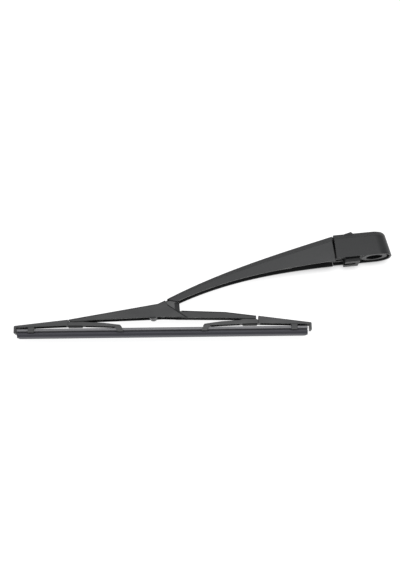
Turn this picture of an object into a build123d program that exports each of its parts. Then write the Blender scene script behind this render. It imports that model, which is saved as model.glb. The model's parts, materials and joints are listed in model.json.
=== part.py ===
"""Rear-window wiper: a cranked moulded arm on a die-cast head with a hinged cover, and a two-level blade.

Frame, in millimetres: the origin is on the spindle's axis where its bore begins, +Z points along the
spindle away from the glass, the arm reaches towards -X and +Y completes the frame. The blade has axes of
its own, along the rubber and up from it, with their origin on the blade's pivot.
"""

import os
from math import cos, hypot, radians, sin, sqrt

from build123d import *

os.makedirs("parts", exist_ok=True)

# Driving dimensions: fits
running_clearance = 0.05
loose_clearance = 0.3

# Driving dimensions: spindle boss of the head
spindle_bore_r = 5.0
spindle_bore_length = 9.0
collar_recess_r = 8.4
collar_recess_depth = 3.0
boss_r = 13.0
boss_flange_height = 4.2
nut_collar_r = 9.5

# Driving dimensions: head cover
cover_front = 41.0
cover_rear = 17.0
cover_half_width = 17.0
cover_rim_drop = 1.2
cover_height = 25.2
cover_wall = 1.8
cover_draft = 0.8
cover_bevel_height = 5.2
cover_bevel_width = 4.2
cover_rear_lean = 3.7
cover_crown_reach = 5.2
cover_corner_r = 14.0
cover_front_edge = 1.0
cover_front_taper = 3.0
cover_hinge_setback = 14.0
cover_hinge_depth = 4.2
cover_pip_r = 1.5
cover_pip_length = 2.6
hood_length = 9.0
hood_height = 1.7
hood_overhang = 0.8

# Driving dimensions: neck, ears and spring post of the head
hinge_overhang = 12.0
hinge_depth = 8.0
hinge_pin_r = 2.0
barrel_r = 4.6
neck_half_width = 7.5
neck_floor = 2.8
neck_top = 6.0
neck_throat = 4.6
throat_setback = 0.5
throat_length = 4.5
throat_ramp = 2.5
neck_heel = 5.5
neck_flank_angle = 36.87
ear_r = 3.0
ear_inner = 7.4
ear_outer = 11.1
post_setback = 24.0
post_height = 2.2
post_r = 1.8
post_block_length = 15.0
post_block_drop = 8.0
hook_side_gap = 2.1
washer_thickness = 1.0
washer_r = 3.2

# Driving dimensions: arm
seam_gap = 1.0
seam_relief = 1.0
arm_flush_step = 0.2
arm_rear_depth = 26.6
arm_tip_depth = 7.6
arm_rear_half_width = 13.75
arm_tip_half_width = 8.4
arm_rear_bevel = 5.6
arm_tip_bevel = 1.8
arm_bevel_run = 0.8
arm_wall_draft = 0.5
arm_wall = 2.3
arm_curl = 12.0
arm_depth_curve = 1.65
arm_rib = 1.5
arm_rib_shares = (0.62, 0.72, 0.82)
anchor_reach = 85.0
anchor_r = 1.6
anchor_hold = 1.2

# Driving dimensions: tension spring
coil_r = 3.8
coil_wire_r = 0.9
coil_count = 20
coil_lead = 2.0
hook_r = 0.9
hook_roof_gap = 0.4

# Driving dimensions: blade pivot
pivot_reach = 222.6
pivot_drop = 37.7
blade_tilt = 4.85
pivot_pin_r = 2.0
pivot_pin_hold = 1.2
arm_tip_reach = 5.0
arm_tip_rise = 10.6
arm_tip_cut_reach = 17.2
arm_tip_cut_rise = 7.3
adapter_half_width = 5.4
adapter_boss_r = 6.6
adapter_heel = 2.5
adapter_flank_angle = 18.0
adapter_bow = 4.8
adapter_bow_half_width = 0.6
adapter_tenon = 14.0
tenon_setback = 3.0
tenon_depth = 3.2
tenon_clearance = 0.1

# Driving dimensions: bridge of the blade
bridge_half_span = 95.5
bridge_half_width = 8.3
bridge_shoulder = 12.0
bridge_end_half_width = 6.6
bridge_wall = 1.7
bridge_bevel = 1.2
bridge_rib = 1.4
bridge_rib_shares = (-0.7, -0.5, -0.3, 0.4, 0.6)
bridge_haunch_share = 0.67
bridge_rib_foot = 6.5
bridge_kink = 4.5
bridge_kink_height = 5.7
horn_reach = 3.0
horn_height = 9.2
horn_foot_reach = 4.8
horn_foot_height = 5.4
bridge_left_top = 9.1
bridge_left_foot = 10.9
bridge_heel_foot = 11.5
bridge_haunch_foot = 10.0
bridge_foot = 7.9
bridge_diagonal_end = 26.2
bridge_diagonal_foot = 8.8
bridge_tail_half_width = 6.4
bridge_tail_overlap = 4.0
bridge_tail_top = 1.0
bridge_tail_mid_top = 3.3
bridge_right_top = 7.5
bridge_right_foot = 10.5
bridge_tail_haunch_foot = 9.8
bridge_tail_foot = 8.8
plate_gap = 0.5
window_margin = 2.4
tie_bar_offset = 9.6
tie_bar_r = 4.4
tie_bar_drop = 10.0
tie_bar_depth = 4.8
tie_bar_inset = 1.5

# Driving dimensions: secondary yokes
yoke_pin_inset = 6.5
left_yoke_drop = 9.9
right_yoke_drop = 8.7
yoke_pin_r = 1.0
yoke_pin_hold = 1.1
yoke_hump_r = 2.1
yoke_inner_half_width = 4.6
yoke_outer_half_width = 5.8
yoke_wall = 1.2
yoke_roof = 2.0
yoke_fork = 10.0
left_notch = 0.8
right_notch = 2.2
yoke_inner_end = 41.5
yoke_inner_foot = 17.0
yoke_inner_bend = 1.5
yoke_arch_reach = 18.0
yoke_arch_top = 12.8
yoke_waist_top = 11.7
yoke_web_foot = 15.4
left_shoulder_drop = 9.3
right_shoulder_drop = 7.7
yoke_end_reach = 3.3
yoke_outer_nose = 0.8
yoke_outer_foot = 16.9
yoke_end_wall = 2.2
yoke_end_drop = 22.5
yoke_tip_top = 15.0
yoke_foot = 16.0
claw_length = 6.0
claw_lean = 3.0
claw_wall = 1.15
claw_lip = 1.0
claw_side_gap = 0.15
claw_foot_gap = 0.2
claw_lip_gap = 0.4
inner_claw_span = 39.5
outer_claw_inset = 20.5

# Driving dimensions: rubber and its backing strip
rubber_half_length = 148.2
rubber_shift = 0.6
lip_drop = 27.8
rubber_top_drop = 18.0
strip_half_width = 4.0
strip_height = 2.9
strip_wall = 0.7
strip_slot = 1.5
rubber_neck = 0.7
rubber_neck_height = 1.5
rubber_body_half_width = 2.8
rubber_body_height = 1.6
lip_half_width = 0.45
lip_height = 2.2
lip_taper = 0.2
lip_end_cut = 3.2
lip_end_rise = 1.2
bulb_gap = 0.1

# Places worked out from the driving dimensions
boss_face = -collar_recess_depth
cover_rim = boss_face - cover_rim_drop
cover_top = cover_rim + cover_height
cover_shoulder = cover_top - cover_bevel_height
cover_hinge = (-cover_front + cover_hinge_setback, cover_top - cover_hinge_depth)

arm_rear = -cover_front - seam_gap
arm_rear_top = cover_top - arm_flush_step
pivot = (-pivot_reach, -pivot_drop)
tilt = radians(blade_tilt)


def from_blade(along, up):
    """Turns a point given along and up from the blade's pivot into the part's X and Z."""
    return (
        pivot[0] + along * cos(tilt) + up * sin(tilt),
        pivot[1] - along * sin(tilt) + up * cos(tilt),
    )


arm_tip, arm_tip_top = from_blade(arm_tip_reach, arm_tip_rise)
arm_length = arm_rear - arm_tip
arm_straight_fall = arm_rear_top - arm_tip_top - arm_curl
hinge_roof = arm_rear_top - hinge_overhang * arm_straight_fall / arm_length
hinge = (arm_rear - hinge_overhang, hinge_roof - hinge_depth)
post = (-post_setback, boss_face + post_height)

blade_side = Plane(
    origin=(pivot[0], 0, pivot[1]), x_dir=(cos(tilt), 0, -sin(tilt)), z_dir=(0, -1, 0)
)
blade_plan = Plane(
    origin=(pivot[0], 0, pivot[1]), x_dir=(cos(tilt), 0, -sin(tilt)), z_dir=(sin(tilt), 0, cos(tilt))
)


def side_plane(y):
    """A plane seen from the near side at depth y, with X to the right and Z up; it extrudes towards -Y."""
    return Plane.XZ.offset(-y)


def arm_shape(share):
    """X, top height, depth, half width and bevel of the arm, a share of the way from rear end to tip."""
    x = arm_rear - share * arm_length
    top = arm_rear_top - arm_straight_fall * share - arm_curl * share**3
    depth = arm_tip_depth + (arm_rear_depth - arm_tip_depth) * (1 - share) ** arm_depth_curve
    half = arm_tip_half_width + (arm_rear_half_width - arm_tip_half_width) * (1 - share) ** 2
    bevel = arm_tip_bevel + (arm_rear_bevel - arm_tip_bevel) * (1 - share**2)
    return x, top, depth, half, bevel


def arm_share(x):
    """The share of the arm's length at which it reaches a given X."""
    return (arm_rear - x) / arm_length


def mirrored(half_outline):
    """Closes an outline of (y, z) points on one side with its mirror image on the other."""
    return half_outline + [(-y, z) for y, z in reversed(half_outline)]


def arm_outer_section(share):
    """Outline of the arm across its length: drafted walls, a bevel and a flat top."""
    x, top, depth, half, bevel = arm_shape(share)
    wall_top = half - arm_wall_draft
    return mirrored(
        [(half, top - depth), (wall_top, top - bevel), (wall_top - bevel * arm_bevel_run, top)]
    )


def arm_inner_section(share):
    """Outline of the arm's channel: the outer outline moved in by the wall, and open below."""
    x, top, depth, half, bevel = arm_shape(share)
    slant = hypot(1, arm_bevel_run)
    wall_top = half - arm_wall_draft - arm_wall
    bevel_foot = top - bevel - arm_wall * (slant - 1) / arm_bevel_run
    roof_edge = half - arm_wall_draft - bevel * arm_bevel_run - arm_wall * (slant - arm_bevel_run)
    return mirrored(
        [(half - arm_wall, top - depth), (wall_top, bevel_foot), (roof_edge, top - arm_wall)]
    )


arm_stations = [0, 0.17, 0.34, 0.5, 0.67, 0.84, 1]

# Solid that bounds the arm
with BuildPart() as arm_bound:
    for station in arm_stations:
        with BuildSketch(Plane.YZ.offset(arm_shape(station)[0])):
            Polygon(*arm_outer_section(station), align=None)
    loft()

# Space inside the arm's channel
with BuildPart() as arm_channel:
    for station in arm_stations:
        with BuildSketch(Plane.YZ.offset(arm_shape(station)[0])):
            Polygon(*arm_inner_section(station), align=None)
    loft()

anchor_share = anchor_reach / arm_length
anchor_x, anchor_top, anchor_depth, anchor_half, anchor_bevel = arm_shape(anchor_share)


def eye_outer(pin_r):
    """Outer radius of the spring's eye round a pin."""
    return pin_r + running_clearance + 2 * hook_r


anchor = (anchor_x, anchor_top - arm_wall - hook_roof_gap - eye_outer(anchor_r))
anchor_half_length = anchor_half - arm_wall_draft - arm_wall + anchor_hold
hinge_half = arm_shape(hinge_overhang / arm_length)[3]
hinge_boss_face = neck_half_width + washer_thickness + 2 * running_clearance
pin_far_end = hinge_half - arm_wall_draft
pin_near_end = -(hinge_half - arm_wall_draft - arm_wall / 2)

# Arm: a moulded channel with hinge bosses, sockets for the spring's anchor and cross ribs
with BuildPart() as arm:
    add(arm_bound.part)
    add(arm_channel.part, mode=Mode.SUBTRACT)
    for y_high, y_low in ((pin_far_end, hinge_boss_face), (-hinge_boss_face, -pin_far_end)):
        with BuildSketch(side_plane(y_high)):
            with Locations(hinge):
                Circle(barrel_r)
        extrude(amount=y_high - y_low)
    for share in arm_rib_shares:
        x, top, depth, half, bevel = arm_shape(share)
        with BuildSketch(Plane.XY.offset(top - depth / 2)):
            with Locations((x, 0)):
                Rectangle(arm_rib, 2 * half - arm_wall)
        extrude(amount=depth)
    add(arm_bound.part, mode=Mode.INTERSECT)
    with BuildSketch(side_plane(pin_far_end)):
        with Locations(hinge):
            Circle(hinge_pin_r)
    extrude(amount=pin_far_end - pin_near_end, mode=Mode.SUBTRACT)
    with BuildSketch(side_plane(anchor_half_length)):
        with Locations(anchor):
            Circle(anchor_r)
    extrude(amount=2 * anchor_half_length, mode=Mode.SUBTRACT)
    with BuildSketch(side_plane(cover_half_width)):
        Polygon(
            (arm_rear, arm_rear_top - arm_rear_depth),
            (arm_rear, arm_rear_top - arm_rear_bevel + seam_relief),
            (arm_rear - seam_relief, arm_rear_top - arm_rear_bevel),
            align=None,
        )
    extrude(amount=2 * cover_half_width, mode=Mode.SUBTRACT)
    with BuildSketch(blade_side):
        Polygon(
            (arm_tip_reach - arm_tip_cut_reach, 2 * arm_tip_rise - arm_tip_cut_rise),
            (arm_tip_cut_reach, arm_tip_cut_rise),
            (arm_tip_cut_reach, -pivot_drop),
            (arm_tip_reach - arm_tip_cut_reach, -pivot_drop),
            align=None,
        )
    extrude(amount=2 * arm_tip_half_width, both=True, mode=Mode.SUBTRACT)

# Hinge pin: pressed into the arm, blind on the near side
with BuildPart() as hinge_pin:
    with BuildSketch(side_plane(pin_far_end)):
        with Locations(hinge):
            Circle(hinge_pin_r)
    extrude(amount=pin_far_end - pin_near_end)


def hinge_washer(y_high):
    """A plastic washer on the hinge pin, with its far face at y_high."""
    with BuildPart() as washer:
        with BuildSketch(side_plane(y_high)):
            with Locations(hinge):
                Circle(washer_r)
                Circle(hinge_pin_r + running_clearance, mode=Mode.SUBTRACT)
        extrude(amount=washer_thickness)
    return washer.part


washer_far = hinge_washer(hinge_boss_face)
washer_near = hinge_washer(-hinge_boss_face + washer_thickness)

# Spring anchor: a steel pin moulded into the arm's walls
with BuildPart() as spring_anchor:
    with BuildSketch(side_plane(anchor_half_length)):
        with Locations(anchor):
            Circle(anchor_r)
    extrude(amount=2 * anchor_half_length)

# Head: spindle boss, neck to the hinge barrel, ears for the cover and block for the spring post
post_block_left = post[0] - post_block_length / 2
post_block_right = post[0] + post_block_length / 2
throat_x = arm_rear + throat_setback
throat_end = throat_x + throat_length
flank_x = barrel_r * sin(radians(neck_flank_angle))
flank_z = barrel_r * cos(radians(neck_flank_angle))
hook_slot = 2 * (hook_r + hook_side_gap)
slot_end = post[0] + eye_outer(post_r) + loose_clearance
slot_roof = post[1] + eye_outer(post_r) + loose_clearance
with BuildPart() as head:
    with BuildSketch(Plane.XY.offset(boss_face)):
        Circle(boss_r)
    extrude(amount=boss_flange_height)
    with BuildSketch(Plane.XY):
        Circle(nut_collar_r)
    extrude(amount=spindle_bore_length)
    with BuildSketch(side_plane(neck_half_width)):
        with Locations(hinge):
            Circle(barrel_r)
        Polygon(
            (hinge[0] - flank_x, hinge[1] - flank_z),
            (throat_x - neck_heel, -neck_floor),
            (0, -neck_floor),
            (0, neck_top),
            (throat_end + throat_ramp, neck_top),
            (throat_end, neck_throat),
            (throat_x, neck_throat),
            (hinge[0] + flank_z, hinge[1] + flank_x),
            align=None,
        )
    extrude(amount=2 * neck_half_width)
    with BuildSketch(Plane.XY.offset(-post_block_drop)):
        with Locations((post[0], 0)):
            Rectangle(post_block_length, 2 * ear_outer)
    extrude(amount=post_block_drop + neck_top)
    for y_high in (ear_outer, -ear_inner):
        with BuildSketch(side_plane(y_high)):
            with Locations(cover_hinge):
                Circle(ear_r)
            Polygon(
                (post_block_left, neck_top),
                (post_block_right, neck_top),
                (cover_hinge[0] + ear_r, cover_hinge[1]),
                (cover_hinge[0] - ear_r, cover_hinge[1]),
                align=None,
            )
        extrude(amount=ear_outer - ear_inner)
    with BuildSketch(side_plane(ear_outer)):
        with Locations(cover_hinge):
            Circle(cover_pip_r + running_clearance)
    extrude(amount=2 * ear_outer, mode=Mode.SUBTRACT)
    with BuildSketch(side_plane(neck_half_width)):
        with Locations(hinge):
            Circle(hinge_pin_r + running_clearance)
    extrude(amount=2 * neck_half_width, mode=Mode.SUBTRACT)
    with BuildSketch(side_plane(hook_slot / 2)):
        Polygon(
            (hinge[0], -post_block_drop),
            (slot_end, -post_block_drop),
            (slot_end, slot_roof),
            (hinge[0], slot_roof),
            align=None,
        )
    extrude(amount=hook_slot, mode=Mode.SUBTRACT)
    with BuildSketch(side_plane(ear_outer)):
        with Locations(post):
            Circle(post_r)
    extrude(amount=ear_outer + ear_inner, mode=Mode.SUBTRACT)
    with BuildSketch(Plane.XY.offset(boss_face)):
        Circle(collar_recess_r)
    extrude(amount=collar_recess_depth, mode=Mode.SUBTRACT)
    with BuildSketch(Plane.XY):
        Circle(spindle_bore_r)
    extrude(amount=spindle_bore_length, mode=Mode.SUBTRACT)

# Spring post: a steel pin across the slot of the head, blind on the near side
with BuildPart() as spring_post:
    with BuildSketch(side_plane(ear_outer)):
        with Locations(post):
            Circle(post_r)
    extrude(amount=ear_outer + ear_inner)


def cover_plan(z, rear, half, corner):
    """A plan outline of the cover at height z: square at the front, round cornered at the rear."""
    with BuildSketch(Plane.XY.offset(z)) as plan:
        Polygon((-cover_front, -half), (rear, -half), (rear, half), (-cover_front, half), align=None)
        fillet(plan.vertices().group_by(Axis.X)[-1], corner)
    return plan.sketch


def cover_body(wall):
    """The cover's solid moved in by a wall: drafted sides, then a crown whose sides close in along a straight
    bevel while its rear closes in along a quarter of an ellipse."""
    bevel_width = cover_bevel_width - wall / 2
    with BuildPart() as body:
        add(cover_plan(cover_rim, cover_rear - wall, cover_half_width - wall, cover_corner_r - wall))
        for share in crown_shares:
            closing = cover_draft + wall + bevel_width * share
            rounding = (cover_crown_reach - wall / 2) * (1 - sqrt(1 - share**2))
            add(
                cover_plan(
                    cover_shoulder - wall / 2 + (cover_bevel_height - wall / 2) * share,
                    cover_rear - cover_rear_lean - wall - rounding,
                    cover_half_width - closing,
                    cover_corner_r - closing,
                )
            )
        loft(ruled=True)
    return body.part


crown_shares = (0, 0.4, 0.7, 0.92, 1)
cover_bound = cover_body(0)
cover_hollow = cover_body(cover_wall)
cover_top_half = cover_half_width - cover_draft - cover_bevel_width
roof_half = cover_top_half - cover_wall / 2
hood_front = cover_hinge[0] - ear_r
hood_rear = hood_front + hood_length
ear_clear_r = ear_r + loose_clearance
boss_face_y = ear_outer + loose_clearance

# Head cover: a moulded cap with a hood over its hinge and pips that snap into the head's ears
with BuildPart() as head_cover:
    add(cover_bound)
    add(cover_hollow, mode=Mode.SUBTRACT)
    with BuildSketch(side_plane(roof_half)):
        Polygon(
            (-cover_front, cover_top - cover_front_edge),
            (-cover_front, cover_top - cover_wall),
            (-cover_front + cover_front_taper, cover_top - cover_wall),
            align=None,
        )
    extrude(amount=2 * roof_half, mode=Mode.SUBTRACT)
    for y_high in (cover_half_width, -boss_face_y):
        with BuildSketch(side_plane(y_high)):
            with Locations(cover_hinge):
                Circle(ear_r)
        extrude(amount=cover_half_width - boss_face_y)
    add(cover_bound, mode=Mode.INTERSECT)
    with BuildSketch(side_plane(cover_top_half + hood_overhang)):
        Polygon(
            (hood_front, cover_top - hood_overhang),
            (hood_front, cover_top),
            (hood_rear - hood_height, cover_top + hood_height),
            (hood_rear, cover_top),
            (hood_rear, cover_top - hood_overhang),
            align=None,
        )
    extrude(amount=2 * (cover_top_half + hood_overhang))
    for y_high in (boss_face_y, -ear_inner + loose_clearance):
        with BuildSketch(side_plane(y_high)):
            with Locations(cover_hinge):
                Circle(ear_clear_r)
        extrude(amount=boss_face_y - ear_inner + loose_clearance, mode=Mode.SUBTRACT)
    for y_high in (boss_face_y, -boss_face_y + cover_pip_length):
        with BuildSketch(side_plane(y_high)):
            with Locations(cover_hinge):
                Circle(cover_pip_r)
        extrude(amount=cover_pip_length)

# Tension spring: a close-wound coil between two long hooks, drawn as a ridged rod
spring_angle = Vector(anchor[0] - post[0], anchor[1] - post[1])
spring_length = spring_angle.length
spring_dir = (spring_angle.X / spring_length, spring_angle.Y / spring_length)
spring_axis = Plane(
    origin=(post[0], 0, post[1]), x_dir=(spring_dir[0], 0, spring_dir[1]), z_dir=(0, -1, 0)
)
coil_pitch = 2 * coil_wire_r
coil_length = coil_count * coil_pitch
coil_end = spring_length - anchor_r - 2 * hook_r - coil_lead
coil_start = coil_end - coil_length
core_r = coil_r - coil_wire_r
with BuildPart() as tension_spring:
    with BuildSketch(spring_axis):
        with BuildLine():
            ridge = [(coil_start, 0), (coil_start, core_r)]
            for turn in range(coil_count):
                ridge.append((coil_start + (turn + 0.5) * coil_pitch, coil_r))
                ridge.append((coil_start + (turn + 1) * coil_pitch, core_r))
            ridge.append((coil_end, 0))
            Polyline(*ridge, close=True)
        make_face()
    revolve(axis=Axis((post[0], 0, post[1]), (spring_dir[0], 0, spring_dir[1])))
    for centre, eye_r, reach in ((0, post_r, coil_start), (spring_length, anchor_r, coil_end)):
        eye_mid = eye_r + running_clearance + hook_r
        with BuildSketch(spring_axis):
            with Locations((centre, 0)):
                Circle(eye_mid + hook_r)
                Circle(eye_mid - hook_r, mode=Mode.SUBTRACT)
        extrude(amount=hook_r, both=True)
        shank_start = centre + (eye_mid if reach > centre else -eye_mid)
        with BuildSketch(spring_axis):
            with Locations(((shank_start + reach) / 2, 0)):
                Rectangle(abs(reach - shank_start), 2 * hook_r)
        extrude(amount=hook_r, both=True)

# Blade adapter: a moulded clip whose tenon fills the arm's tip and whose boss turns on the pivot pin
tenon_rear = arm_tip + adapter_tenon + arm_tip_cut_reach - arm_tip_reach
tenon_tip = arm_tip + tenon_setback


def tenon_top(x):
    """Height of the tenon's upper face, just under the roof of the arm's channel."""
    return arm_shape(arm_share(x))[1] - arm_wall - loose_clearance


def cut_height(x):
    """Height just under the slanting cut at the arm's tip."""
    share = (x - arm_tip) / (cut_corner[0] - arm_tip)
    return arm_tip_top + share * (cut_corner[1] - arm_tip_top) - tenon_clearance


cut_corner = from_blade(arm_tip_cut_reach, arm_tip_cut_rise - tenon_clearance)
boss_flank_x = adapter_boss_r * sin(radians(adapter_flank_angle))
boss_flank_z = adapter_boss_r * cos(radians(adapter_flank_angle))
tenon_half_width = arm_inner_section(arm_share(tenon_rear))[2][0] - tenon_clearance
with BuildPart() as blade_adapter:
    with BuildSketch(side_plane(adapter_half_width)):
        with Locations(pivot):
            Circle(adapter_boss_r)
        Polygon(
            (tenon_tip, cut_height(tenon_tip)),
            cut_corner,
            (cut_corner[0], pivot[1] - adapter_heel),
            (pivot[0] + boss_flank_x, pivot[1] - boss_flank_z),
            (pivot[0] - boss_flank_z, pivot[1] + boss_flank_x),
            align=None,
        )
    extrude(amount=2 * adapter_half_width)
    with BuildSketch(side_plane(tenon_half_width)):
        Polygon(
            (tenon_tip, tenon_top(tenon_tip)),
            (tenon_rear, tenon_top(tenon_rear)),
            (tenon_rear, tenon_top(tenon_rear) - tenon_depth),
            (cut_corner[0], tenon_top(cut_corner[0]) - tenon_depth),
            cut_corner,
            (pivot[0], pivot[1]),
            align=None,
        )
    extrude(amount=2 * tenon_half_width)
    for side in (-1, 1):
        with BuildSketch(Plane.XY.offset(pivot[1] - adapter_boss_r)):
            Polygon(
                (cut_corner[0] - adapter_bow, side * adapter_half_width),
                (cut_corner[0], side * adapter_half_width),
                (cut_corner[0], side * adapter_bow_half_width),
                align=None,
            )
        extrude(amount=cut_corner[1] - pivot[1] + adapter_boss_r, mode=Mode.SUBTRACT)
    with BuildSketch(side_plane(adapter_half_width)):
        with Locations(pivot):
            Circle(pivot_pin_r + running_clearance)
    extrude(amount=2 * adapter_half_width, mode=Mode.SUBTRACT)


upward_share = 0.7


def beam(side_outline, plan_outline, bevel=0):
    """A solid with one outline seen from the blade's side and another from above, bevelled along its top."""
    with BuildPart() as solid:
        with BuildSketch(blade_side):
            Polygon(*side_outline, align=None)
        extrude(amount=2 * bridge_half_width, both=True)
        with BuildSketch(blade_plan):
            Polygon(*plan_outline, align=None)
        extrude(amount=pivot_drop, both=True, mode=Mode.INTERSECT)
        if bevel:
            upright = blade_plan.z_dir
            upper = solid.faces().filter_by(lambda face: face.normal_at().dot(upright) > upward_share)
            chamfer(upper.edges().filter_by(lambda edge: abs(edge.center().Y) > bevel), bevel)
    return solid.part


def bridge_nose(wall):
    """The bridge's left half and its centre, from the left end to the horns, moved in by a wall."""
    end = wall - bridge_half_span
    side = [
        (end, -bridge_left_top - wall),
        (-bridge_kink, bridge_kink_height - wall),
        (horn_reach, horn_height - wall),
        (horn_foot_reach, horn_foot_height - wall),
        (bridge_diagonal_end, -bridge_diagonal_foot),
        (0, -bridge_foot),
        (-bridge_haunch, -bridge_haunch_foot),
        (-yoke_pivot_span, -bridge_heel_foot),
        (end, -bridge_left_foot),
    ]
    plan = [
        (end, bridge_end_half_width - wall),
        (-bridge_shoulder, bridge_half_width - wall),
        (bridge_diagonal_end, bridge_half_width - wall),
    ]
    return beam(side, plan + [(x, -y) for x, y in reversed(plan)], bevel=0 if wall else bridge_bevel)


def bridge_tail(wall):
    """The bridge's right half, moved in by a wall."""
    start = arm_tip_cut_reach - bridge_tail_overlap
    end = bridge_half_span - wall
    side = [
        (start, -bridge_tail_top - wall),
        (bridge_haunch, -bridge_tail_mid_top - wall),
        (end, -bridge_right_top - wall),
        (end, -bridge_right_foot),
        (bridge_haunch, -bridge_tail_haunch_foot),
        (start, -bridge_tail_foot),
    ]
    plan = [(start, bridge_tail_half_width - wall), (end, bridge_end_half_width - wall)]
    return beam(side, plan + [(x, -y) for x, y in reversed(plan)], bevel=0 if wall else bridge_bevel)


bridge_haunch = bridge_haunch_share * bridge_half_span
yoke_pivot_span = bridge_half_span - yoke_pin_inset
yoke_pivots = {-1: (-yoke_pivot_span, -left_yoke_drop), 1: (yoke_pivot_span, -right_yoke_drop)}
plate_inner = adapter_half_width + plate_gap
window_left = -adapter_boss_r - window_margin
window_right = arm_tip_cut_reach + window_margin
fork_start = yoke_pivot_span - yoke_fork
fork_end = bridge_half_span + right_notch
fork_half_gap = yoke_inner_half_width + loose_clearance

# Solid that bounds the bridge
with BuildPart() as bridge_bound:
    add(bridge_nose(0))
    add(bridge_tail(0))

# Bridge: a moulded channel with plates round the adapter and forked ends for the yokes
with BuildPart() as bridge:
    add(bridge_bound.part)
    add(bridge_nose(bridge_wall), mode=Mode.SUBTRACT)
    add(bridge_tail(bridge_wall), mode=Mode.SUBTRACT)
    with BuildSketch(blade_plan.offset(-bridge_rib_foot)):
        with Locations(*[(share * bridge_half_span, 0) for share in bridge_rib_shares]):
            Rectangle(bridge_rib, 2 * bridge_half_width)
    extrude(amount=bridge_rib_foot + horn_height)
    add(bridge_bound.part, mode=Mode.INTERSECT)
    with BuildSketch(blade_side):
        Polygon(
            (window_left, 2 * horn_height),
            (window_right, 2 * horn_height),
            (window_right, -2 * bridge_foot),
            (window_left, -2 * bridge_foot),
            align=None,
        )
    extrude(amount=plate_inner, both=True, mode=Mode.SUBTRACT)
    for side in (-1, 1):
        with BuildSketch(blade_plan):
            with Locations((side * (fork_start + fork_end) / 2, 0)):
                Rectangle(fork_end - fork_start, 2 * fork_half_gap)
        extrude(amount=pivot_drop, both=True, mode=Mode.SUBTRACT)
        with BuildSketch(blade_side):
            with Locations(yoke_pivots[side]):
                Circle(yoke_pin_r)
        extrude(amount=fork_half_gap + yoke_pin_hold, mode=Mode.SUBTRACT)
        with BuildSketch(blade_side):
            with Locations(yoke_pivots[side]):
                Circle(yoke_pin_r)
        extrude(amount=-bridge_half_width, mode=Mode.SUBTRACT)
    with BuildSketch(blade_side):
        with Locations((-tie_bar_offset, -tie_bar_drop + tie_bar_r)):
            Circle(tie_bar_r)
        with Locations((-tie_bar_offset, tie_bar_depth - tie_bar_drop)):
            Rectangle(2 * tie_bar_r, 2 * tie_bar_r, align=(Align.CENTER, Align.MIN), mode=Mode.SUBTRACT)
    extrude(amount=bridge_half_width - tie_bar_inset, both=True)
    with BuildSketch(blade_side.offset(-bridge_half_width)):
        Circle(pivot_pin_r)
    extrude(amount=bridge_half_width + plate_inner + pivot_pin_hold, mode=Mode.SUBTRACT)

# Blade pivot pin: pressed into the bridge, blind on the near side
with BuildPart() as blade_pivot_pin:
    with BuildSketch(blade_side.offset(-bridge_half_width)):
        Circle(pivot_pin_r)
    extrude(amount=bridge_half_width + plate_inner + pivot_pin_hold)

yoke_outer_end = rubber_half_length + yoke_end_reach
outer_claw_span = yoke_outer_end - outer_claw_inset
claw_inner_y = strip_half_width + claw_side_gap
claw_outer_y = claw_inner_y + claw_wall
strip_foot = -rubber_top_drop - strip_height
claw_foot = strip_foot - claw_foot_gap - claw_lip
lip_inner_y = strip_slot + claw_lip_gap


def blade_section(along):
    """A plane across the blade at a place along it, with Y to the right and the blade's height up."""
    return Plane(
        origin=blade_side.from_local_coords(Vector(along, 0, 0)), x_dir=(0, 1, 0), z_dir=blade_side.x_dir
    )


def claws(side, foot, lean):
    """A pair of claws round the backing strip: the foot at a place along the blade, the top leant out."""
    claw_top = -yoke_foot
    outline = [
        (claw_outer_y, claw_top),
        (claw_outer_y, claw_foot),
        (lip_inner_y, claw_foot),
        (lip_inner_y, claw_foot + claw_lip),
        (claw_inner_y, claw_foot + claw_lip),
        (claw_inner_y, loose_clearance - rubber_top_drop),
    ]
    nearest = foot if side > 0 else -foot - claw_length - lean
    with BuildPart() as pair:
        with BuildSketch(blade_section(nearest)):
            Polygon(*mirrored(outline), align=None)
        extrude(amount=claw_length + lean)
        with BuildSketch(blade_side):
            Polygon(
                (side * foot, claw_foot),
                (side * (foot + claw_length), claw_foot),
                (side * (foot + claw_length + lean), claw_top),
                (side * (foot + lean), claw_top),
                align=None,
            )
        extrude(amount=claw_outer_y, both=True, mode=Mode.INTERSECT)
    return pair.part


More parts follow.
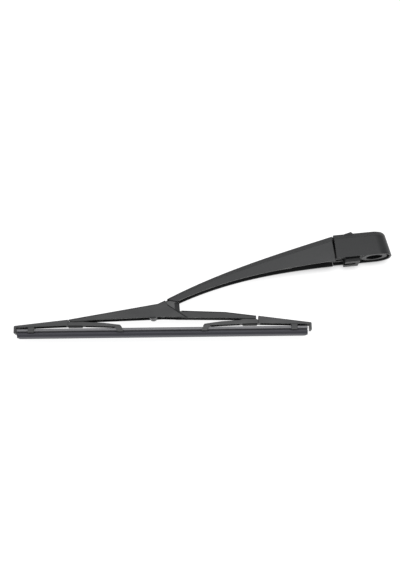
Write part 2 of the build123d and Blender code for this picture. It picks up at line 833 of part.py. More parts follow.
def yoke(side, shoulder, shoulder_drop):
    """A secondary yoke; side is -1 for the left one and 1 for the right one."""
    pivot_at = yoke_pivots[side]
    inner_window = yoke_inner_end + claw_length + yoke_inner_bend
    outer_window = shoulder + yoke_roof
    tip_wall = yoke_outer_end - yoke_end_wall
    with BuildPart() as piece:
        with BuildSketch(blade_side):
            Polygon(
                (side * yoke_inner_end, -yoke_inner_foot),
                (side * (yoke_inner_end + yoke_inner_bend), -yoke_tip_top),
                (side * (yoke_inner_end + yoke_arch_reach), -yoke_arch_top),
                (side * fork_start, -yoke_waist_top),
                (side * (yoke_pivot_span - yoke_hump_r), pivot_at[1]),
                (side * (yoke_pivot_span + yoke_hump_r), pivot_at[1]),
                (side * shoulder, -yoke_waist_top),
                (side * shoulder, -yoke_web_foot),
                (side * yoke_pivot_span, -yoke_web_foot),
                align=None,
            )
            with Locations(pivot_at):
                Circle(yoke_hump_r)
        extrude(amount=yoke_inner_half_width, both=True)
        with BuildSketch(blade_side):
            Polygon(
                (side * shoulder, -shoulder_drop),
                (side * (yoke_outer_end - yoke_outer_nose), -yoke_tip_top),
                (side * yoke_outer_end, -yoke_tip_top - yoke_outer_nose),
                (side * yoke_outer_end, -yoke_outer_foot),
                (side * shoulder, -yoke_web_foot),
                align=None,
            )
        extrude(amount=yoke_outer_half_width, both=True)
        with BuildSketch(blade_side):
            Polygon(
                (side * outer_window, -shoulder_drop - yoke_roof),
                (side * tip_wall, -yoke_tip_top - yoke_wall),
                (side * tip_wall, -rubber_top_drop),
                (side * outer_window, -rubber_top_drop),
                align=None,
            )
        extrude(amount=yoke_outer_half_width - yoke_wall, both=True, mode=Mode.SUBTRACT)
        with BuildSketch(blade_side):
            Polygon(
                (side * tip_wall, -yoke_tip_top - yoke_outer_nose),
                (side * yoke_outer_end, -yoke_tip_top - yoke_outer_nose),
                (side * yoke_outer_end, -yoke_end_drop),
                (side * tip_wall, -yoke_end_drop),
                align=None,
            )
        extrude(amount=yoke_outer_half_width, both=True)
        with BuildSketch(blade_side):
            Polygon(
                (side * inner_window, -yoke_tip_top),
                (side * (yoke_inner_end + yoke_arch_reach), -yoke_arch_top - yoke_wall),
                (side * fork_start, -yoke_waist_top - yoke_wall),
                (side * fork_start, -rubber_top_drop),
                (side * inner_window, -rubber_top_drop),
                align=None,
            )
        extrude(amount=yoke_inner_half_width - yoke_wall, both=True, mode=Mode.SUBTRACT)
        add(claws(side, inner_claw_span, claw_lean))
        add(claws(side, outer_claw_span, 0))
        with BuildSketch(blade_side):
            with Locations(pivot_at):
                Circle(yoke_pin_r + running_clearance)
        extrude(amount=yoke_outer_half_width, both=True, mode=Mode.SUBTRACT)
    return piece.part


left_yoke = yoke(-1, bridge_half_span + left_notch, left_shoulder_drop)
right_yoke = yoke(1, bridge_half_span + right_notch, right_shoulder_drop)


def yoke_pin(side):
    """The steel pin of a secondary yoke, pressed into the bridge and blind on the near side."""
    yoke_pin_far = bridge_end_half_width
    with BuildPart() as pin:
        with BuildSketch(blade_side.offset(-yoke_pin_far)):
            with Locations(yoke_pivots[side]):
                Circle(yoke_pin_r)
        extrude(amount=yoke_pin_far + fork_half_gap + yoke_pin_hold)
    return pin.part


left_yoke_pin = yoke_pin(-1)
right_yoke_pin = yoke_pin(1)

strip_section = blade_section(-rubber_half_length - rubber_shift)

# Backing strip: a roll-formed steel channel that grips the rubber's bulb
with BuildPart() as backing_strip:
    with BuildSketch(strip_section):
        Polygon(*mirrored([
            (strip_half_width, -rubber_top_drop),
            (strip_half_width, strip_foot),
            (strip_slot, strip_foot),
            (strip_slot, strip_foot + strip_wall),
            (strip_half_width - strip_wall, strip_foot + strip_wall),
            (strip_half_width - strip_wall, -rubber_top_drop - strip_wall),
        ]), align=None)
    extrude(amount=2 * rubber_half_length)

# Rubber: bulb in the strip, neck, body and wiping lip
neck_foot = strip_foot - rubber_neck_height
with BuildPart() as rubber:
    with BuildSketch(strip_section):
        Polygon(*mirrored([
            (strip_half_width - strip_wall - bulb_gap, -rubber_top_drop - strip_wall - bulb_gap),
            (strip_half_width - strip_wall - bulb_gap, strip_foot + strip_wall + bulb_gap),
            (rubber_neck, strip_foot + strip_wall + bulb_gap),
            (rubber_neck, neck_foot),
            (rubber_body_half_width, neck_foot),
            (rubber_body_half_width, neck_foot - rubber_body_height),
            (lip_half_width + lip_taper, -lip_drop + lip_height),
            (lip_half_width, -lip_drop),
        ]), align=None)
    extrude(amount=2 * rubber_half_length)
    for side in (-1, 1):
        end = side * rubber_half_length - rubber_shift
        with BuildSketch(blade_side):
            Polygon(
                (end - side * lip_end_cut, -lip_drop),
                (end, -lip_drop),
                (end, -lip_drop + lip_end_rise),
                align=None,
            )
        extrude(amount=rubber_body_half_width, both=True, mode=Mode.SUBTRACT)

pieces = {
    "head": head.part,
    "head_cover": head_cover.part,
    "arm": arm.part,
    "hinge_pin": hinge_pin.part,
    "hinge_washer_near": washer_near,
    "hinge_washer_far": washer_far,
    "spring_anchor": spring_anchor.part,
    "spring_post": spring_post.part,
    "tension_spring": tension_spring.part,
    "blade_adapter": blade_adapter.part,
    "bridge": bridge.part,
    "blade_pivot_pin": blade_pivot_pin.part,
    "left_yoke": left_yoke,
    "right_yoke": right_yoke,
    "left_yoke_pin": left_yoke_pin,
    "right_yoke_pin": right_yoke_pin,
    "backing_strip": backing_strip.part,
    "rubber": rubber.part,
}
for name, piece in pieces.items():
    piece.label = name
    export_step(piece, f"parts/{name}.step")
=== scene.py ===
import json
from math import cos, pi, radians, sin

import bpy
import numpy as np
from mathutils import Matrix, Vector


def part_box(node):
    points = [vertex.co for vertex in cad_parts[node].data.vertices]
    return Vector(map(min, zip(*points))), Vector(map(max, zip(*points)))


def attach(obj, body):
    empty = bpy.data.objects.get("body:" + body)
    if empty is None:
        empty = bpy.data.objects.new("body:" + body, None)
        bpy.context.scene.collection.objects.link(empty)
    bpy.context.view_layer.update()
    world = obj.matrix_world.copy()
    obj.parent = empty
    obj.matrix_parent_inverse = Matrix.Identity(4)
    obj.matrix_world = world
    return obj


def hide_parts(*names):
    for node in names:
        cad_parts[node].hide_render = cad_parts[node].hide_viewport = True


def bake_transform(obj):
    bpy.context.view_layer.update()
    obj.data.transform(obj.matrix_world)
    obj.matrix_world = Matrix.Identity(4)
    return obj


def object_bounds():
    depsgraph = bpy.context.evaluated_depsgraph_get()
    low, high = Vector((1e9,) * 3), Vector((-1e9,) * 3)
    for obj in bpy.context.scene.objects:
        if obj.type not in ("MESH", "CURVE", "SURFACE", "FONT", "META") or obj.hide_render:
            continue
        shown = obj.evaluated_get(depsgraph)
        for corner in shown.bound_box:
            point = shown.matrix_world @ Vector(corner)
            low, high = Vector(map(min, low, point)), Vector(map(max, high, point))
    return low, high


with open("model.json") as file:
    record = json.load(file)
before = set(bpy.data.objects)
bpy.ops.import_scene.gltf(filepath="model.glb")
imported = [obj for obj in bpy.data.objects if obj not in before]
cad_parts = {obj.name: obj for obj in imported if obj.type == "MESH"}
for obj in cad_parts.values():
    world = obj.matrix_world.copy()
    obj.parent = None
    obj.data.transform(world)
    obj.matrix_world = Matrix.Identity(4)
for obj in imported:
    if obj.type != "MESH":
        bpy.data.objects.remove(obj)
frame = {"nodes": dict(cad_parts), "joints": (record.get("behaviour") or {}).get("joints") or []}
cad_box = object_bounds()

# Head
# A zinc die casting that clamps on the spindle, with a neck into the arm and ears for the cover.
# It is dip coated black, and the casting's skin shows as a faint unevenness under the coat.
# The seat round the spindle's bore is then faced on a lathe, so it is bare, with turning marks.
coat_black = (0.014, 0.0145, 0.015, 1)
coat_gloss = 0.2
coat_shades = (0.85, 1.2)
coat_cloud = 0.009
coat_roughness = (0.38, 0.58)
casting_skin = 0.0011
casting_depth = 0.00004
casting_edge = 0.0003
seat_r = 0.0132
seat_height = -0.0029
seat_grey = (0.07, 0.07, 0.072, 1)
turning_pitch = 0.0005


def new_finish(name, colour, gloss):
    """A node material whose Principled shader carries the values that are the same all over."""
    finish = bpy.data.materials.new(name)
    finish.use_nodes = True
    shader = finish.node_tree.nodes["Principled BSDF"]
    shader.inputs["Base Color"].default_value = colour
    shader.inputs["Specular IOR Level"].default_value = gloss
    return finish, finish.node_tree, shader


def mottle(tree, size, detail=3.0, source=None):
    """Noise with lumps of size metres along each axis, on object coordinates or a source."""
    place = tree.nodes.new("ShaderNodeMapping")
    place.vector_type = "TEXTURE"
    place.inputs["Scale"].default_value = size
    if source is None:
        source = tree.nodes.new("ShaderNodeTexCoord").outputs["Object"]
    tree.links.new(source, place.inputs["Vector"])
    noise = tree.nodes.new("ShaderNodeTexNoise")
    noise.inputs["Scale"].default_value = 1.0
    noise.inputs["Detail"].default_value = detail
    tree.links.new(place.outputs["Vector"], noise.inputs["Vector"])
    return noise.outputs["Fac"]


def spread(tree, field, low, high, start=0.3, stop=0.7):
    """Stretches a field from start..stop to low..high, straight in between."""
    stretch = tree.nodes.new("ShaderNodeMapRange")
    stretch.inputs["From Min"].default_value = start
    stretch.inputs["From Max"].default_value = stop
    stretch.inputs["To Min"].default_value = low
    stretch.inputs["To Max"].default_value = high
    tree.links.new(field, stretch.inputs["Value"])
    return stretch.outputs["Result"]


def shade_of(tree, shader, colour, field, low, high):
    """Lets the base colour run from low to high times itself with a field."""
    mix = tree.nodes.new("ShaderNodeMix")
    mix.data_type = "RGBA"
    for socket, share in (("A", low), ("B", high)):
        mix.inputs[socket].default_value = tuple(share * part for part in colour[:3]) + (1,)
    tree.links.new(spread(tree, field, 0, 1), mix.inputs["Factor"])
    tree.links.new(mix.outputs["Result"], shader.inputs["Base Color"])
    return mix.outputs["Result"]


def roughness_of(tree, shader, field, low, high):
    """Lets the roughness run from low to high with a field."""
    tree.links.new(spread(tree, field, low, high), shader.inputs["Roughness"])


def emboss(tree, shader, field, depth, edge):
    """Raises the surface by a field times depth, over corners rounded off by an edge radius."""
    rounded = tree.nodes.new("ShaderNodeBevel")
    rounded.inputs["Radius"].default_value = edge
    bump = tree.nodes.new("ShaderNodeBump")
    bump.inputs["Distance"].default_value = depth
    tree.links.new(field, bump.inputs["Height"])
    tree.links.new(rounded.outputs["Normal"], bump.inputs["Normal"])
    tree.links.new(bump.outputs["Normal"], shader.inputs["Normal"])


def math_of(tree, operation, first, second):
    """Joins a field with another one or a number, by a product, a comparison or the like."""
    step = tree.nodes.new("ShaderNodeMath")
    step.operation = operation
    tree.links.new(first, step.inputs[0])
    if isinstance(second, float):
        step.inputs[1].default_value = second
    else:
        tree.links.new(second, step.inputs[1])
    return step.outputs["Value"]


def mixed(tree, kind, factor, first, second):
    """Runs from a first field to a second one, or to a colour, with a factor."""
    mix = tree.nodes.new("ShaderNodeMix")
    mix.data_type = kind
    tree.links.new(factor, mix.inputs["Factor"])
    tree.links.new(first, mix.inputs["A"])
    if isinstance(second, tuple):
        mix.inputs["B"].default_value = second
    else:
        tree.links.new(second, mix.inputs["B"])
    return mix.outputs["Result"]


def dress(finish, *nodes):
    """Gives a finish to the model's own nodes."""
    for node in nodes:
        for slot in frame["nodes"][node].material_slots:
            slot.material = finish


coat, tree, shader = new_finish("black_coated_casting", coat_black, coat_gloss)
place = tree.nodes.new("ShaderNodeSeparateXYZ")
tree.links.new(tree.nodes.new("ShaderNodeTexCoord").outputs["Object"], place.inputs["Vector"])
along, across, height = place.outputs
along_squared = math_of(tree, "MULTIPLY", along, along)
across_squared = math_of(tree, "MULTIPLY", across, across)
from_axis = math_of(tree, "POWER", math_of(tree, "ADD", along_squared, across_squared), 0.5)
inside_rim = math_of(tree, "LESS_THAN", from_axis, seat_r)
under_boss = math_of(tree, "LESS_THAN", height, seat_height)
seat = math_of(tree, "MULTIPLY", inside_rim, under_boss)
turning_marks = mottle(tree, (turning_pitch,) * 3, source=from_axis)
skin = mixed(tree, "FLOAT", seat, mottle(tree, (casting_skin,) * 3), turning_marks)
coated = shade_of(tree, shader, coat_black, mottle(tree, (coat_cloud,) * 3), *coat_shades)
tree.links.new(mixed(tree, "RGBA", seat, coated, seat_grey), shader.inputs["Base Color"])
tree.links.new(seat, shader.inputs["Metallic"])
roughness_of(tree, shader, skin, *coat_roughness)
emboss(tree, shader, skin, casting_depth, casting_edge)
dress(coat, "head")

# Pins
# The hinge pin, the spring's two pins and the blade's pivot pins are drawn steel, cut to length.
# They are pressed in with their bare ends flush, so only a bright disc with drawing marks shows.
steel_grey = (0.50, 0.50, 0.49, 1)
steel_gloss = 0.5
steel_shades = (0.75, 1.05)
steel_cloud = 0.003
steel_roughness = (0.24, 0.46)
drawing_marks = (0.00025, 0.006, 0.00025)
drawing_depth = 0.000006
pin_edge = 0.0002
bright_steel, tree, shader = new_finish("drawn_steel", steel_grey, steel_gloss)
shader.inputs["Metallic"].default_value = 1.0
marks = mottle(tree, drawing_marks, detail=4.0)
shade_of(tree, shader, steel_grey, mottle(tree, (steel_cloud,) * 3), *steel_shades)
roughness_of(tree, shader, marks, *steel_roughness)
emboss(tree, shader, marks, drawing_depth, pin_edge)
dress(
    bright_steel,
    "hinge_pin",
    "spring_post",
    "spring_anchor",
    "blade_pivot_pin",
    "left_yoke_pin",
    "right_yoke_pin",
)

# Hinge washers
# Two thin washers of natural nylon keep the head's barrel from rubbing on the arm's bosses.
# They are stamped from sheet and float on the hinge pin.
nylon_white = (0.62, 0.60, 0.54, 1)
nylon_gloss = 0.4
nylon_roughness = 0.5
nylon_shades = (0.88, 1.08)
nylon_cloud = 0.0012
nylon_depth = 0.00001
nylon_scatter = 0.15
nylon_scatter_reach = (0.001, 0.0008, 0.0006)
washer_edge = 0.0001
nylon, tree, shader = new_finish("natural_nylon", nylon_white, nylon_gloss)
shader.inputs["Roughness"].default_value = nylon_roughness
shader.inputs["Subsurface Weight"].default_value = nylon_scatter
shader.inputs["Subsurface Radius"].default_value = nylon_scatter_reach
cloud = mottle(tree, (nylon_cloud,) * 3)
shade_of(tree, shader, nylon_white, cloud, *nylon_shades)
emboss(tree, shader, cloud, nylon_depth, washer_edge)
dress(nylon, "hinge_washer_near", "hinge_washer_far")

# Arm
# A cranked channel moulded in glass-filled plastic, open underneath, with cross ribs near its tip.
# The mould was spark eroded, so the black skin has a fine even grain and a soft sheen.
arm_black = (0.040, 0.0408, 0.0416, 1)
arm_gloss = 0.25
arm_edge = 0.0005
moulding_roughness = (0.36, 0.48)
moulding_shades = (0.88, 1.12)
grain_size = 0.00045
grain_depth = 0.00003
flow_size = (0.030, 0.012, 0.008)


def moulded(name, colour, gloss, edge):
    """Black moulded plastic: fine grain, slow changes of shade and roughness, rounded edges."""
    finish, tree, shader = new_finish(name, colour, gloss)
    grain = mottle(tree, (grain_size,) * 3, detail=2.0)
    flow = mottle(tree, flow_size, detail=4.0)
    shade_of(tree, shader, colour, flow, *moulding_shades)
    roughness_of(tree, shader, flow, *moulding_roughness)
    emboss(tree, shader, grain, grain_depth, edge)
    return finish


dress(moulded("grained_arm_plastic", arm_black, arm_gloss, arm_edge), "arm")

# Head cover
# A moulded cap that swings on two pips in the head's ears and hides the spindle's nut.
# Its plastic is a shade darker and duller than the arm's, with crisp bevels round the top.
cover_black = (0.034, 0.0347, 0.0354, 1)
cover_gloss = 0.21
cover_edge = 0.0006
dress(moulded("satin_cover_plastic", cover_black, cover_gloss, cover_edge), "head_cover")

# Tension spring
# A close-wound coil of black phosphated spring wire that pulls the arm to the glass.
# A long hook reaches through the hinge to the head's post, and a short one to the arm's anchor.
wire_r = 0.0009
wire_sides = 10
coil_r = 0.0029
coil_turns = 20
turn_steps = 28
lead_turns = 0.5
eye_sweep = 1.7 * pi
eye_steps = 24
eye_clearance = 0.00005
anchor_gap = 0.0054
crease_angle = radians(35)


def centre_of(node):
    """The middle of a node's box."""
    low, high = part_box(node)
    return np.array((low + high) / 2)


def half_height_of(node):
    """Half the height of a node's box, which is the radius of a pin that lies across the arm."""
    low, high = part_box(node)
    return (high - low).z / 2


def unit(vectors):
    """Vectors of length one along the last axis."""
    return vectors / np.linalg.norm(vectors, axis=-1, keepdims=True)


def grid_mesh(name, points, finish):
    """A closed tube from a grid of points: rows along it, columns round it, both ends capped."""
    rows, columns = points.shape[:2]
    index = np.arange(rows * columns).reshape(rows, columns)
    next_round = np.roll(index, -1, axis=1)
    quads = np.stack([index[:-1], next_round[:-1], next_round[1:], index[1:]], axis=-1)
    mesh = bpy.data.meshes.new(name)
    caps = [index[0, ::-1].tolist(), index[-1].tolist()]
    mesh.from_pydata(points.reshape(-1, 3).tolist(), [], quads.reshape(-1, 4).tolist() + caps)
    mesh.materials.append(finish)
    mesh.shade_smooth()
    mesh.set_sharp_from_angle(angle=crease_angle)
    piece = bpy.data.objects.new(name, mesh)
    bpy.context.scene.collection.objects.link(piece)
    return piece


def wire_path(start, stop, start_pin_r, stop_pin_r):
    """The wire's centre line and its side direction: an eye round the first pin, a straight shank
    on the axis, a helix whose radius eases out of the axis and back within half a turn at each
    end, a shank and an eye."""
    axis = unit(stop - start)
    side = np.array((0, 1, 0))
    rise = np.cross(side, axis)
    length = np.linalg.norm(stop - start)
    coil_length = coil_turns * 2 * wire_r
    coil_stop = length - anchor_gap
    coil_start = coil_stop - coil_length
    turn = np.linspace(0, coil_turns, coil_turns * turn_steps + 1)
    ease = np.clip(np.minimum(turn, coil_turns - turn) / lead_turns, 0, 1)
    radius = coil_r * np.sin(ease * pi / 2)
    angle = 2 * pi * turn
    along = coil_start + coil_length * turn / coil_turns
    sweep = np.linspace(eye_sweep, 0, eye_steps)
    back = sweep[::-1]
    first_r = start_pin_r + wire_r
    last_r = stop_pin_r + wire_r
    lengthways = np.concatenate([first_r * np.cos(sweep), along, length - last_r * np.cos(back)])
    sideways = np.concatenate([0 * sweep, radius * np.cos(angle), 0 * back])
    upward = np.concatenate(
        [first_r * np.sin(sweep), radius * np.sin(angle), -last_r * np.sin(back)]
    )
    phase = np.concatenate([0 * sweep, angle, 0 * back])
    path = start + lengthways[:, None] * axis + sideways[:, None] * side + upward[:, None] * rise
    outward = np.cos(phase)[:, None] * side + np.sin(phase)[:, None] * rise
    return path, outward


def round_wire(path, outward, radius, sides):
    """A round tube: at each place of the path a circle across it, from the side direction on."""
    along = unit(np.gradient(path, axis=0))
    across = unit(outward - np.sum(outward * along, axis=1, keepdims=True) * along)
    third = np.cross(along, across)
    turn = (np.arange(sides) * 2 * pi / sides)[None, :, None]
    ring = np.cos(turn) * across[:, None] + np.sin(turn) * third[:, None]
    return path[:, None] + radius * ring


phosphate_black = (0.022, 0.022, 0.023, 1)
phosphate_gloss = 0.5
phosphate_shades = (0.6, 1.5)
phosphate_roughness = (0.38, 0.62)
phosphate_bloom = 0.0025
phosphate_crystal = 0.0002
phosphate_depth = 0.000005
wire_edge = 0.0001
spring_wire, tree, shader = new_finish("phosphated_spring_wire", phosphate_black, phosphate_gloss)
bloom = mottle(tree, (phosphate_bloom,) * 3, detail=4.0)
shade_of(tree, shader, phosphate_black, bloom, *phosphate_shades)
roughness_of(tree, shader, bloom, *phosphate_roughness)
emboss(tree, shader, mottle(tree, (phosphate_crystal,) * 3), phosphate_depth, wire_edge)

post = centre_of("spring_post")
anchor = centre_of("spring_anchor")
post[1] = anchor[1] = 0
post_eye_r = half_height_of("spring_post") + eye_clearance
anchor_eye_r = half_height_of("spring_anchor") + eye_clearance
path, outward = wire_path(post, anchor, post_eye_r, anchor_eye_r)
spring = grid_mesh("spring_coil", round_wire(path, outward, wire_r, wire_sides), spring_wire)
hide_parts("tension_spring")
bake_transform(spring)

# Blade adapter
# A moulded clip pushed into the arm's open tip, with a boss that turns on the blade's pivot pin.
# It is unfilled plastic, so it is a little shinier than the arm round it.
# Its latch stands up between the bridge's horns, just behind the arm's tip.
adapter_black = (0.040, 0.041, 0.042, 1)
adapter_gloss = 0.4
adapter_edge = 0.0004
latch_outline = np.array([(2.4, 8.4), (5.2, 10.4), (7.0, 9.0), (6.5, 6.5), (4.0, 6.0)]) / 1000
latch_half = 0.0030
latch_edge = 0.0004
latch_draw = 0.85
adapter_plastic = moulded("smooth_adapter_plastic", adapter_black, adapter_gloss, adapter_edge)
dress(adapter_plastic, "blade_adapter")


def node_points(node):
    """The corners of a node's mesh, as rows of X, Y and Z."""
    corners = np.empty(3 * len(frame["nodes"][node].data.vertices))
    frame["nodes"][node].data.vertices.foreach_get("co", corners)
    return corners.reshape(-1, 3)


joint_at = {joint["name"]: np.array(joint["pos_m"]) for joint in frame["joints"]}
pivot = joint_at["blade_pivot"]
strip_points = node_points("backing_strip")
along_blade = np.linalg.svd(strip_points - strip_points.mean(axis=0), full_matrices=False)[2][0]
along_blade = along_blade * np.sign(along_blade[0])
across_blade = np.array((0, 1, 0))
up_blade = np.cross(along_blade, across_blade)


def on_blade(along, y, up):
    """Points at distances along, across and up from the blade's pivot."""
    return (
        pivot
        + along[..., None] * along_blade
        + y[..., None] * across_blade
        + up[..., None] * up_blade
    )


def carried_across(name, outline, half, edge, draw, finish):
    """An outline of (along, up) points carried across the blade and drawn in at both ends."""
    y = np.array((-half, edge - half, half - edge, half))
    size = np.array((draw, 1, 1, draw))
    centre = outline.mean(axis=0)
    ring = centre + size[:, None, None] * (outline - centre)
    return grid_mesh(name, on_blade(ring[..., 0], y[:, None], ring[..., 1]), finish)


latch = carried_across(
    "adapter_latch", latch_outline, latch_half, latch_edge, latch_draw, adapter_plastic
)
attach(latch, "arm")

# Bridge and yokes
# The bridge spreads the arm's load to two secondary yokes, which hold the rubber in pairs of claws.
# All three are moulded channels in black plastic, the yokes a shade paler, pinned with steel.
# A rib under each yoke's solid middle stops the strip where it would buckle up between the claws.
bridge_black = (0.038, 0.0388, 0.0396, 1)
bridge_gloss = 0.24
yoke_black = (0.048, 0.0490, 0.0500, 1)
yoke_gloss = 0.27
blade_edge = 0.0005
rib_reach = 0.0085
rib_slope = 0.0015
rib_root = -0.0150
rib_foot = -0.0170
rib_half = 0.0012
rib_edge = 0.0003
rib_draw = 0.97
dress(moulded("grained_bridge_plastic", bridge_black, bridge_gloss, blade_edge), "bridge")
yoke_plastic = moulded("grained_yoke_plastic", yoke_black, yoke_gloss, blade_edge)
dress(yoke_plastic, "left_yoke", "right_yoke")
rib_outline = np.array([
    (-rib_reach, rib_root),
    (rib_reach, rib_root),
    (rib_reach - rib_slope, rib_foot),
    (rib_slope - rib_reach, rib_foot),
])
for side in ("left", "right"):
    below_pin = rib_outline + ((joint_at[f"{side}_yoke_pivot"] - pivot) @ along_blade, 0)
    rib = carried_across(f"{side}_yoke_rib", below_pin, rib_half, rib_edge, rib_draw, yoke_plastic)
    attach(rib, f"{side}_yoke")

# Backing strip
# A channel roll formed from stainless strip. It grips the rubber's bulb and slides into the claws.
# Rolling left fine lines along it, and the outside is dull.
strip_top = -0.0180
strip_height = 0.0029
strip_half = 0.0040
strip_wall = 0.0007
strip_slot = 0.0015
strip_corner = 0.0009
half_rows = 60
strip_places = (strip_points - pivot) @ along_blade
strip_ends = {"left": strip_places.min(), "right": strip_places.max()}


def corner(y, up, radius, from_angle, to_angle, steps=5):
    """Points of an arc with its centre at (y, up), in degrees from the +Y direction."""
    angle = np.radians(np.linspace(from_angle, to_angle, steps))
    return np.stack([y + radius * np.cos(angle), up + radius * np.sin(angle)], axis=1)


def both_sides(half_outline):
    """Closes an outline of (y, up) points with its mirror image, running back on the other side."""
    return np.concatenate([half_outline, half_outline[::-1] * (-1, 1)])


def extruded(name, outline, share, finish, end, cut):
    """An outline carried along the blade over shares of the way to one end, each point stopping
    short of that end by its own cut. Its places along, across and up are kept as on_blade."""
    along = share[:, None] * (end - np.sign(end) * cut)[None, :]
    y = np.broadcast_to(outline[:, 0], along.shape)
    up = np.broadcast_to(outline[:, 1], along.shape)
    piece = grid_mesh(name, on_blade(along, y, up), finish)
    place = piece.data.attributes.new("on_blade", "FLOAT_VECTOR", "POINT")
    place.data.foreach_set("vector", np.stack([along, y, up], axis=-1).astype(np.float32).ravel())
    return piece


def flexing_halves(node, outline, finish, cut):
    """Two halves of a bar, each running from the blade's pivot out to one end; they take the node's
    place.
    """
    from_centre = np.linspace(0, 1, half_rows)
    for side, share in (("left", from_centre), ("right", from_centre[::-1])):
        piece = extruded(f"{node}_{side}", outline, share, finish, strip_ends[side], cut)
        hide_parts(node)
        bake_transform(piece)


def blade_place(tree):
    """The places along, across and up that each half keeps on its points."""
    kept = tree.nodes.new("ShaderNodeAttribute")
    kept.attribute_name = "on_blade"
    return kept.outputs["Vector"]


strip_foot = strip_top - strip_height
strip_inner = strip_half - strip_wall
bend = strip_corner - strip_wall
strip_outline = both_sides(np.concatenate([
    corner(strip_half - strip_corner, strip_top - strip_corner, strip_corner, 90, 0),
    corner(strip_half - strip_corner, strip_foot + strip_corner, strip_corner, 0, -90),
    [(strip_slot, strip_foot), (strip_slot, strip_foot + strip_wall)],
    corner(strip_inner - bend, strip_foot + strip_wall + bend, bend, -90, 0),
    corner(strip_inner - bend, strip_top - strip_wall - bend, bend, 0, 90),
]))
square_ends = np.zeros(len(strip_outline))
strip_grey = (0.180, 0.180, 0.188, 1)
strip_gloss = 0.35
strip_metal = 0.15
strip_shades = (0.8, 1.15)
strip_roughness = (0.34, 0.55)
strip_edge = 0.0002
rolling_lines = (0.040, 0.0002, 0.0002)
rolling_depth = 0.00001
strip_steel, tree, shader = new_finish("rolled_strip", strip_grey, strip_gloss)
shader.inputs["Metallic"].default_value = strip_metal
lines = mottle(tree, rolling_lines, detail=4.0, source=blade_place(tree))
shade_of(tree, shader, strip_grey, lines, *strip_shades)
roughness_of(tree, shader, lines, *strip_roughness)
emboss(tree, shader, lines, rolling_depth, strip_edge)
flexing_halves("backing_strip", strip_outline, strip_steel, square_ends)

# Rubber
# The wiping element: a bulb in the strip, a thin neck that lets it flip over, a body and a lip.
# It is extruded in one length. The lip is cut square and runs paler towards its edge, the ends are
# nipped at a slant.
bulb_gap = 0.0001
neck_half = 0.0007
neck_height = 0.0015
body_half = 0.0028
body_height = 0.0016
body_corner = 0.0005
lip_drop = 0.0278
lip_height = 0.0022
lip_half = 0.00045
lip_root_half = 0.00065
end_cut = 0.0032
end_rise = 0.0012
bulb_half = strip_inner - bulb_gap
bulb_top = strip_top - strip_wall - bulb_gap
bulb_foot = strip_foot + strip_wall + bulb_gap
body_top = strip_foot - neck_height
body_foot = body_top - body_height
lip_top = lip_height - lip_drop
rubber_outline = both_sides(np.concatenate([
    [(bulb_half, bulb_top), (bulb_half, bulb_foot), (neck_half, bulb_foot), (neck_half, body_top)],
    corner(body_half - body_corner, body_top - body_corner, body_corner, 90, 0),
    corner(body_half - body_corner, body_foot + body_corner, body_corner, 0, -60),
    [(lip_root_half, lip_top), (lip_root_half, end_rise - lip_drop), (lip_half, -lip_drop)],
]))
nip = np.clip((end_rise - lip_drop - rubber_outline[:, 1]) / end_rise, 0, 1)
rubber_black = (0.066, 0.066, 0.078, 1)
rubber_gloss = 0.3
rubber_roughness = 0.62
rubber_shades = (0.85, 1.15)
rubber_edge = 0.0002
lip_grey = (0.150, 0.150, 0.160, 1)
lip_pale_foot = 0.0010 - lip_drop
extrusion_lines = (0.030, 0.0003, 0.0003)
extrusion_depth = 0.00002
rubber_finish, tree, shader = new_finish("extruded_rubber", rubber_black, rubber_gloss)
shader.inputs["Roughness"].default_value = rubber_roughness
place = tree.nodes.new("ShaderNodeSeparateXYZ")
tree.links.new(blade_place(tree), place.inputs["Vector"])
drag_lines = mottle(tree, extrusion_lines, detail=4.0, source=blade_place(tree))
body_shade = shade_of(tree, shader, rubber_black, drag_lines, *rubber_shades)
# The base colour runs from the body's shade to a paler grey down the lip, palest near its edge.
paler_to_lip_edge = spread(tree, place.outputs["Z"], 1, 0, lip_pale_foot, lip_top)
tree.links.new(mixed(tree, "RGBA", paler_to_lip_edge, body_shade, lip_grey), shader.inputs["Base Color"])
emboss(tree, shader, drag_lines, extrusion_depth, rubber_edge)
flexing_halves("rubber", rubber_outline, rubber_finish, end_cut * nip)

# White ground
# The wiper lies on its far side on a white sheet, there for the camera, for gloss and for glass.
# It takes the wiper's shadow and is seen from its front only. Near the wiper its glow is darkened
# by ambient occlusion, a painted contact shadow.
ground_gap = 0.0005
ground_half = 3.0
painted_shadow_reach = 0.008
sheet_glow = (0.90, 0.90, 0.90, 1)
paper_grey = (0.32, 0.32, 0.32, 1)
paper_gloss = 0.1
paper_roughness = 0.9
ground_y = float(cad_box[1].y) + ground_gap
square = np.array([(-1, 0, -1), (1, 0, -1), (1, 0, 1), (-1, 0, 1)])
corners = square * ground_half + (0, ground_y, 0)
sheet = bpy.data.meshes.new("ground")
sheet.from_pydata(corners.tolist(), [], [(0, 1, 2, 3)])
ground = bpy.data.objects.new("ground", sheet)
bpy.context.scene.collection.objects.link(ground)
paper, tree, shader = new_finish("white_paper", paper_grey, paper_gloss)
shader.inputs["Roughness"].default_value = paper_roughness
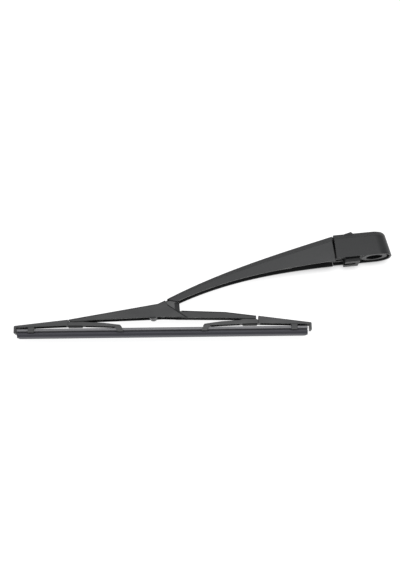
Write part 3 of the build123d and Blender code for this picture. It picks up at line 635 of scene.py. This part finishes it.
# Painted contact shadow: ambient occlusion darkens the sheet's glow where the wiper comes close to
# it.
painted_contact_shadow = tree.nodes.new("ShaderNodeAmbientOcclusion")
painted_contact_shadow.inputs["Color"].default_value = sheet_glow
painted_contact_shadow.inputs["Distance"].default_value = painted_shadow_reach
tree.links.new(painted_contact_shadow.outputs["Color"], shader.inputs["Emission Color"])
ray = tree.nodes.new("ShaderNodeLightPath").outputs
sighted = math_of(tree, "MAXIMUM", ray["Is Camera Ray"], ray["Is Glossy Ray"])
sighted = math_of(tree, "MAXIMUM", sighted, ray["Is Transmission Ray"])
tree.links.new(sighted, shader.inputs["Emission Strength"])
behind = tree.nodes.new("ShaderNodeNewGeometry").outputs["Backfacing"]
clear = tree.nodes.new("ShaderNodeBsdfTransparent")
one_sided = tree.nodes.new("ShaderNodeMixShader")
tree.links.new(math_of(tree, "GREATER_THAN", sighted, behind), one_sided.inputs["Fac"])
tree.links.new(clear.outputs["BSDF"], one_sided.inputs[1])
tree.links.new(shader.outputs["BSDF"], one_sided.inputs[2])
tree.links.new(one_sided.outputs["Shader"], tree.nodes["Material Output"].inputs["Surface"])
sheet.materials.append(paper)

# Studio light
# One wide soft box stands in front, a little above the wiper, and a weaker one lights its far side.
# A pale, even room fills the shadows, so a colour looks the same from every side.
room_colour = (0.97, 0.98, 1.0, 1)
room_strength = 0.38
scene = bpy.context.scene
scene.view_settings.view_transform = "Standard"
room = bpy.data.worlds.new("pale_room")
room.use_nodes = True
room.node_tree.nodes["Background"].inputs["Color"].default_value = room_colour
room.node_tree.nodes["Background"].inputs["Strength"].default_value = room_strength
scene.world = room
middle = (cad_box[0] + cad_box[1]) / 2


def area_lamp(name, width, height, energy, offset):
    """A rectangular lamp at an offset from the wiper's middle, turned to face it."""
    lamp = bpy.data.lights.new(name, "AREA")
    lamp.shape = "RECTANGLE"
    lamp.size = width
    lamp.size_y = height
    lamp.energy = energy
    stand = bpy.data.objects.new(name, lamp)
    stand.location = middle + Vector(offset)
    stand.rotation_mode = "QUATERNION"
    stand.rotation_quaternion = (middle - stand.location).to_track_quat("-Z", "Y")
    scene.collection.objects.link(stand)


area_lamp("soft_box", width=1.2, height=0.3, energy=7.8, offset=(0.05, -1.07, 0.16))
area_lamp("far_side_fill", width=1.2, height=0.6, energy=5.0, offset=(0, 1.00, 0.25))

# Camera
# It stands a metre off, a little below the wiper's own horizon, and is rolled by a few degrees.
# Its focal length is given in pixels of the upright image, whose height fills the sensor's width.
image_height = 570
focal_pixels = 970.9
sensor_width = 36.0
camera_distance = 1.0
camera_aim = np.array((-0.1819, 0.0, -0.0148))
camera_elevation = radians(-12.5)
camera_roll = radians(5.5)
level = np.array((1, 0, 0))
upright = np.array((0, sin(camera_elevation), cos(camera_elevation)))
backward = np.array((0, -cos(camera_elevation), sin(camera_elevation)))
to_right = cos(camera_roll) * level - sin(camera_roll) * upright
to_top = sin(camera_roll) * level + cos(camera_roll) * upright
stand = camera_aim + camera_distance * backward
lens = bpy.data.cameras.new("camera")
lens.sensor_width = sensor_width
lens.lens = sensor_width * focal_pixels / image_height
camera = bpy.data.objects.new("camera", lens)
columns = np.column_stack([to_right, to_top, backward, stand])
camera.matrix_world = Matrix(columns.tolist() + [[0, 0, 0, 1]])
scene.collection.objects.link(camera)
scene.camera = camera
